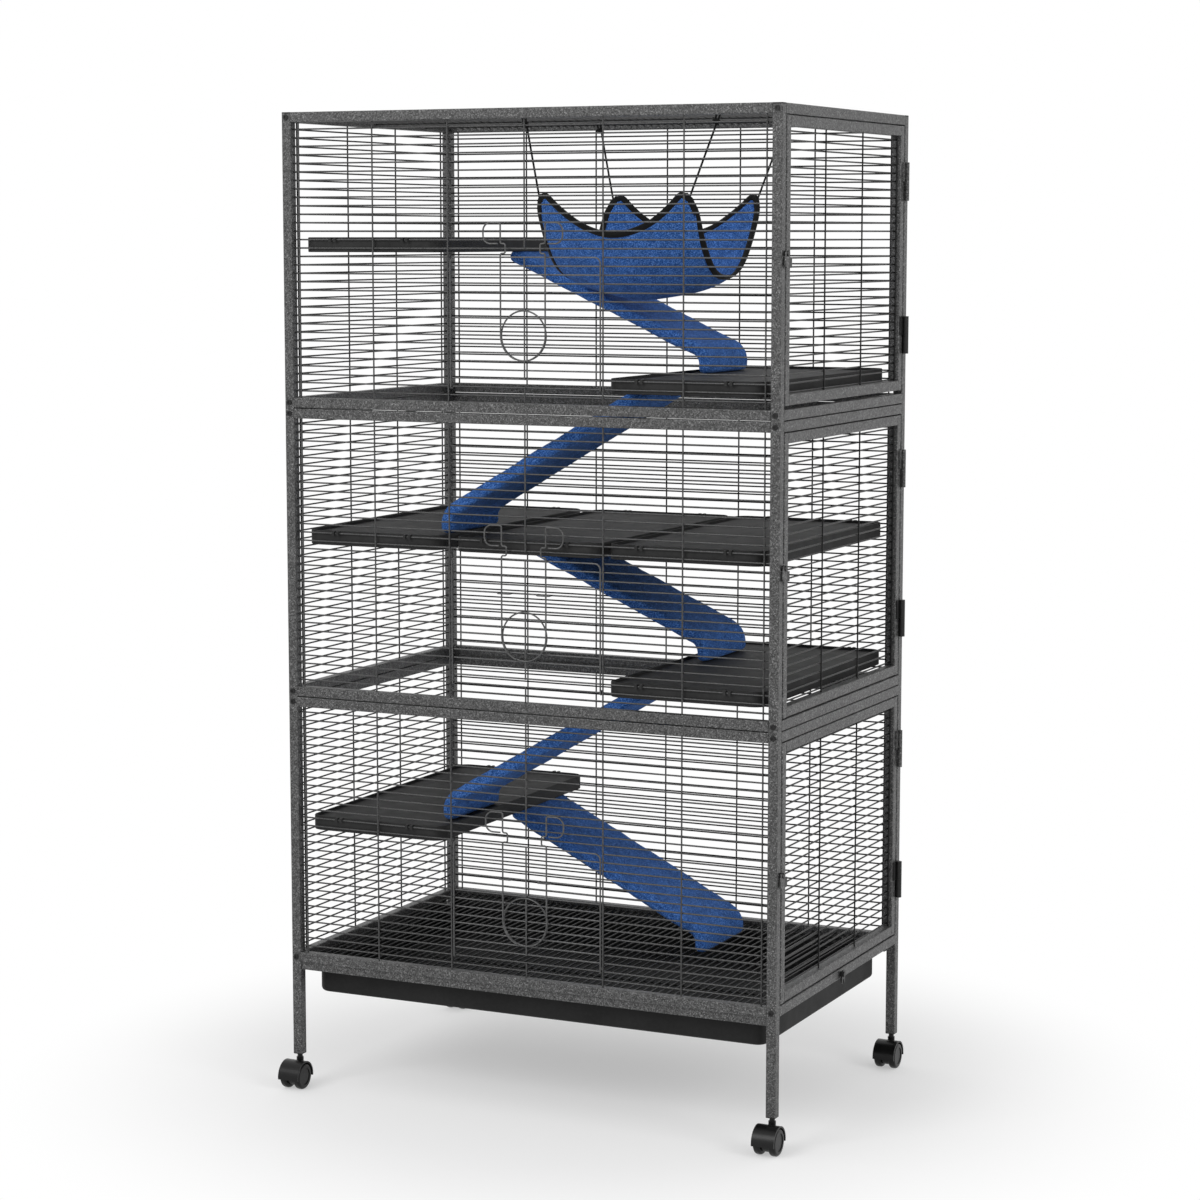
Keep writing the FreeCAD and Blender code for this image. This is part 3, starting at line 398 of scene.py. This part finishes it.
def hammock_point(u, v):
    """Point of the hanging cloth at shares of its half width and half depth."""
    u, v = round_tip(u, v)
    rise = abs(v) ** HAMMOCK_RISE_POWER
    trough = (HAMMOCK_BELLY_SAG - HAMMOCK_SIDE_SAG) * (1 - rise) + HAMMOCK_HEM_SAG * rise
    point = Vector((
        HAMMOCK_MIDDLE.x + u * HAMMOCK_HALF.x + HAMMOCK_DRIFT * (1 - v * v),
        v * (HAMMOCK_HALF.y - HAMMOCK_HEM_DRAW * (1 - u * u)),
        HAMMOCK_CORNER_Z - HAMMOCK_SIDE_SAG * (1 - rise) - trough * (1 - u * u),
    ))
    point.z += fold_height(u, v) + CLOTH_UNEVEN * noise.noise(point * CLOTH_WAVES)
    return point


def hammock_cloth():
    """The hanging cloth, two layers thick."""
    across, along = CLOTH_STEPS
    points = [
        hammock_point(i / across * 2 - 1, j / along * 2 - 1)
        for j in range(along + 1)
        for i in range(across + 1)
    ]
    row = across + 1
    faces = [
        (j * row + i, j * row + i + 1, j * row + row + i + 1, j * row + row + i)
        for j in range(along)
        for i in range(across)
    ]
    cloth = piece("hammock_cloth", smooth_mesh("hammock_cloth", points, faces), "blue_fleece")
    layers = cloth.modifiers.new("two layers", "SOLIDIFY")
    layers.thickness = HAMMOCK_CLOTH
    layers.offset = 0
    return cloth


def hem_walk(steps):
    """Shares round the four hems, from the front left tip and back to it."""
    hems = ((-1, -1, 2, 0), (1, -1, 0, 2), (1, 1, -2, 0), (-1, 1, 0, -2))
    for tip_u, tip_v, step_u, step_v in hems:
        for k in range(steps):
            yield tip_u + step_u * k / steps, tip_v + step_v * k / steps


def hammock_binding():
    """Tape folded round all four hems."""
    walk = list(hem_walk(HEM_STEPS))
    edge = [hammock_point(u, v) for u, v in walk]
    inner = [hammock_point(u * HEM_INWARD_SHARE, v * HEM_INWARD_SHARE) for u, v in walk]
    rings = []
    for k, point in enumerate(edge):
        along = (edge[(k + 1) % len(edge)] - edge[k - 1]).normalized()
        inward = inner[k] - point
        inward = (inward - inward.dot(along) * along).normalized()
        over = along.cross(inward)
        rings.append([point + inward * depth + over * height for depth, height in BINDING_SECTION])
    tape = loft("hammock_binding", rings, closed=True)
    return piece("hammock_binding", tape, "black_cord", binding_tape)


def curve_piece(name, points, width):
    """A cord drawn as one open smooth curve along its route."""
    curve = bpy.data.curves.new(name, "CURVE")
    curve.dimensions = "3D"
    curve.bevel_depth = width / 2
    curve.bevel_resolution = 4
    curve.resolution_u = 12
    curve.use_fill_caps = True
    spline = curve.splines.new("NURBS")
    spline.points.add(len(points) - 1)
    for target, point in zip(spline.points, points):
        target.co = (*point, 1.0)
    spline.order_u = 3
    spline.use_endpoint_u = True
    return piece(name, curve, "black_cord")


def hammock_cord(name, u, v):
    """One cord from a tip, up over its roof wire and down to a wrapped knot on itself."""
    tip = hammock_point(u, v)
    wire = Vector((ROOF_WIRE_X[u], tip.y, ROOF_WIRE_Z))
    up = (wire - tip).normalized()
    across = Vector((0, 1, 0))
    side = across.cross(up)

    def beside(shift, height):
        return wire + side * shift + up * height

    crest = CORD_LOOP * CORD_CREST_SHARE
    route = [
        tip,
        beside(CORD_CLOSE / 2, -CORD_LEAD),
        beside(CORD_LOOP, 0),
        beside(CORD_LOOP, crest),
        beside(-CORD_LOOP, crest),
        beside(-CORD_LOOP, 0),
        beside(-CORD_CLOSE / 2, -CORD_TAIL),
    ]
    cord = curve_piece(name, route, CORD_WIDTH)
    turns = []
    for k in range(WRAP_TURNS * WRAP_STEPS + 1):
        turn = 2 * pi * k / WRAP_STEPS
        middle = wire + up * (WRAP_PITCH * k / WRAP_STEPS - CORD_TAIL)
        turns.append(middle + side * cos(turn) * WRAP_ACROSS + across * sin(turn) * WRAP_ALONG)
    wrap = curve_piece(name + "_wrap", turns, CORD_WIDTH)
    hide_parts("hammock_cords")
    return cord


def ramp_section():
    """Places round a sleeve, across its middle and over it, with a seam drawn in on each side."""
    flat_w = RAMP_HALF_WIDTH - RAMP_EDGE
    flat_n = RAMP_HALF_THICKNESS - RAMP_EDGE
    turns = [k * pi / (2 * EDGE_STEPS) for k in range(EDGE_STEPS + 1)]
    corner = [(flat_w + RAMP_EDGE * cos(turn), flat_n + RAMP_EDGE * sin(turn)) for turn in turns]
    shares = [k / FLAT_STEPS for k in range(FLAT_STEPS - 1, -FLAT_STEPS, -1)]
    flat = [(flat_w * share, RAMP_HALF_THICKNESS) for share in shares]
    upper = corner + flat + [(-w, n) for w, n in reversed(corner)]
    lower = [(w, -n) for w, n in reversed(upper)]
    return upper + [(RAMP_SEAM - RAMP_HALF_WIDTH, 0)] + lower + [(RAMP_HALF_WIDTH - RAMP_SEAM, 0)]


def ramp_stations(head, bend, foot):
    """Points of a ramp's middle line, the way along it there and how far the section draws in."""
    slope = (bend - head).normalized()
    drop = (foot - bend).normalized()
    turn = slope.angle(drop)
    setback = RAMP_BEND * (1 - cos(turn)) / sin(turn)
    start = bend - slope * setback
    inward = (drop - slope * slope.dot(drop)).normalized()
    centre = start + inward * RAMP_BEND
    ends = [k / END_STEPS * pi / 2 for k in range(END_STEPS + 1)]
    stations = []
    for turned in reversed(ends):
        middle = head + slope * RAMP_END * (1 - sin(turned))
        stations.append((middle, slope, RAMP_END * (1 - cos(turned))))
    run = (start - head).length - RAMP_END
    for k in range(1, SLOPE_STEPS):
        stations.append((head + slope * (RAMP_END + run * k / SLOPE_STEPS), slope, 0.0))
    for k in range(BEND_STEPS + 1):
        angle = turn * k / BEND_STEPS
        way = slope * cos(angle) + inward * sin(angle)
        out = slope * sin(angle) - inward * cos(angle)
        stations.append((centre + out * RAMP_BEND, way, 0.0))
    for turned in ends:
        middle = foot - drop * RAMP_END * (1 - sin(turned))
        stations.append((middle, drop, RAMP_END * (1 - cos(turned))))
    return stations


def ramp_line(name):
    """Head, bend and foot of a sleeve's middle line. Back ramps fall right, front ones left."""
    low, high = (Vector(corner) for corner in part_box("ramp_sleeve_" + name))
    y = (low.y + high.y) / 2
    head_x, foot_x = low.x + RAMP_HEAD_IN, high.x - RAMP_SKIN
    if y < 0:
        head_x, foot_x = high.x - RAMP_HEAD_IN, low.x + RAMP_SKIN
    head = Vector((head_x, y, high.z - RAMP_HEAD_DROP))
    return head, Vector((foot_x, y, low.z + RAMP_FOOT)), Vector((foot_x, y, low.z))


def ramp_sleeve(name):
    """A padded fleece sleeve round a ramp's board."""
    head, bend, foot = ramp_line(name)
    width_way = Vector((0, 1, 0)) if bend.x > head.x else Vector((0, -1, 0))
    section = ramp_section()
    rings = []
    for middle, way, draw in ramp_stations(head, bend, foot):
        over = way.cross(width_way)
        ring = []
        for w, n in section:
            share = 1 - (w / RAMP_HALF_WIDTH) ** 2
            w -= draw * w / RAMP_HALF_WIDTH
            n *= 1 - draw / RAMP_HALF_THICKNESS
            n += RAMP_CROWN * share * n / RAMP_HALF_THICKNESS
            point = middle + width_way * w + over * n
            uneven = RAMP_UNEVEN * noise.noise(point * RAMP_WAVES)
            uneven += PILE_UNEVEN * noise.noise(point * PILE_WAVES)
            point += over * uneven * n / RAMP_HALF_THICKNESS
            ring.append(point + width_way * uneven * w / RAMP_HALF_WIDTH)
        rings.append(ring)
    sleeve = piece("sleeve_" + name, loft("sleeve_" + name, rings), "blue_fleece")
    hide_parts("ramp_sleeve_" + name)


def hammock():
    """Cloth, bound hems and the four cords that hold it."""
    cloth = hammock_cloth()
    binding = hammock_binding()
    cords = [hammock_cord("hammock_cord_" + name, u, v) for name, (u, v) in HAMMOCK_TIPS.items()]
    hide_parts("hammock")


# Stage, light and camera

def seen_directly(tree):
    """A switch that is on for what the camera, a reflection or a clear piece looks at."""
    path = tree.nodes.new("ShaderNodeLightPath")
    total = path.outputs["Is Camera Ray"]
    for name in ("Is Glossy Ray", "Is Transmission Ray"):
        node = tree.nodes.new("ShaderNodeMath")
        node.operation = "MAXIMUM"
        tree.links.new(total, node.inputs[0])
        tree.links.new(path.outputs[name], node.inputs[1])
        total = node.outputs[0]
    return total


def white_floor():
    """Pale ground that glows white for the eye, less so in the shadow of the cage."""
    paint = Paint(
        "white_floor", Base_Color=(*grey(FLOOR_TONE), 1.0), Roughness=0.9, Specular_IOR_Level=0.0)
    distance = paint.add("VectorMath", {0: paint.place}, operation="LENGTH").outputs["Value"]
    reach = {
        "Value": distance, "From Min": SHADOW_NEAR, "From Max": SHADOW_FAR, "To Min": WHITE_LEAST,
    }
    fade = paint.add("MapRange", reach, interpolation_type="SMOOTHSTEP").outputs["Result"]
    shares = {0: fade, 1: seen_directly(paint.tree)}
    amount = paint.add("Math", shares, operation="MULTIPLY").outputs[0]
    glow = paint.add("Emission").outputs["Emission"]
    mix = paint.add("MixShader", {0: amount, 1: paint.surface.outputs["BSDF"], 2: glow})
    paint.put(paint.tree.nodes["Material Output"].inputs["Surface"], mix.outputs["Shader"])
    return paint.material


def floor():
    """The ground of the stage, far wider than the view."""
    sides = ((-1, -1), (1, -1), (1, 1), (-1, 1))
    corners = [(x * FLOOR_REACH, y * FLOOR_REACH, 0) for x, y in sides]
    mesh = bpy.data.meshes.new("floor")
    mesh.from_pydata(corners, [], [(0, 1, 2, 3)])
    mesh.materials.append(white_floor())
    obj = bpy.data.objects.new("floor", mesh)
    bpy.context.scene.collection.objects.link(obj)


def sky():
    """Even light from all round, and a plain white background."""
    world = bpy.data.worlds.new("studio")
    world.use_nodes = True
    tree = world.node_tree
    plain = tree.nodes["Background"]
    plain.inputs["Color"].default_value = (1, 1, 1, 1)
    plain.inputs["Strength"].default_value = AMBIENT
    white = tree.nodes.new("ShaderNodeBackground")
    white.inputs["Color"].default_value = (1, 1, 1, 1)
    mix = tree.nodes.new("ShaderNodeMixShader")
    tree.links.new(seen_directly(tree), mix.inputs["Fac"])
    tree.links.new(plain.outputs["Background"], mix.inputs[1])
    tree.links.new(white.outputs["Background"], mix.inputs[2])
    tree.links.new(mix.outputs["Shader"], tree.nodes["World Output"].inputs["Surface"])
    bpy.context.scene.world = world


def softbox(name, location, size, watts):
    """A round soft light that looks at the middle of the cage."""
    light = bpy.data.lights.new(name, "AREA")
    light.shape = "DISK"
    light.size = size
    light.energy = watts
    obj = bpy.data.objects.new(name, light)
    obj.location = location
    obj.rotation_euler = (LIGHT_AIM - obj.location).to_track_quat("-Z", "Y").to_euler()
    bpy.context.scene.collection.objects.link(obj)


def camera():
    """The photo's own view."""
    data = bpy.data.cameras.new("photo_view")
    data.lens = CAMERA_LENS
    data.sensor_width = SENSOR_WIDTH
    data.clip_end = CLIP_END
    obj = bpy.data.objects.new("photo_view", data)
    turn = Matrix((CAMERA_RIGHT, -CAMERA_DOWN, -CAMERA_FORWARD)).transposed().to_4x4()
    obj.matrix_world = Matrix.Translation(CAMERA_PLACE) @ turn
    bpy.context.scene.collection.objects.link(obj)
    bpy.context.scene.camera = obj


dress_cad()
for ramp_name in RAMPS:
    ramp_sleeve(ramp_name)
hammock()
floor()
sky()
softbox("key", location=(-1.6, -4.2, 3.4), size=2.6, watts=95)
softbox("side", location=(4.4, -1.4, 2.6), size=2.4, watts=55)
camera()
bpy.context.scene.view_settings.view_transform = "Standard"
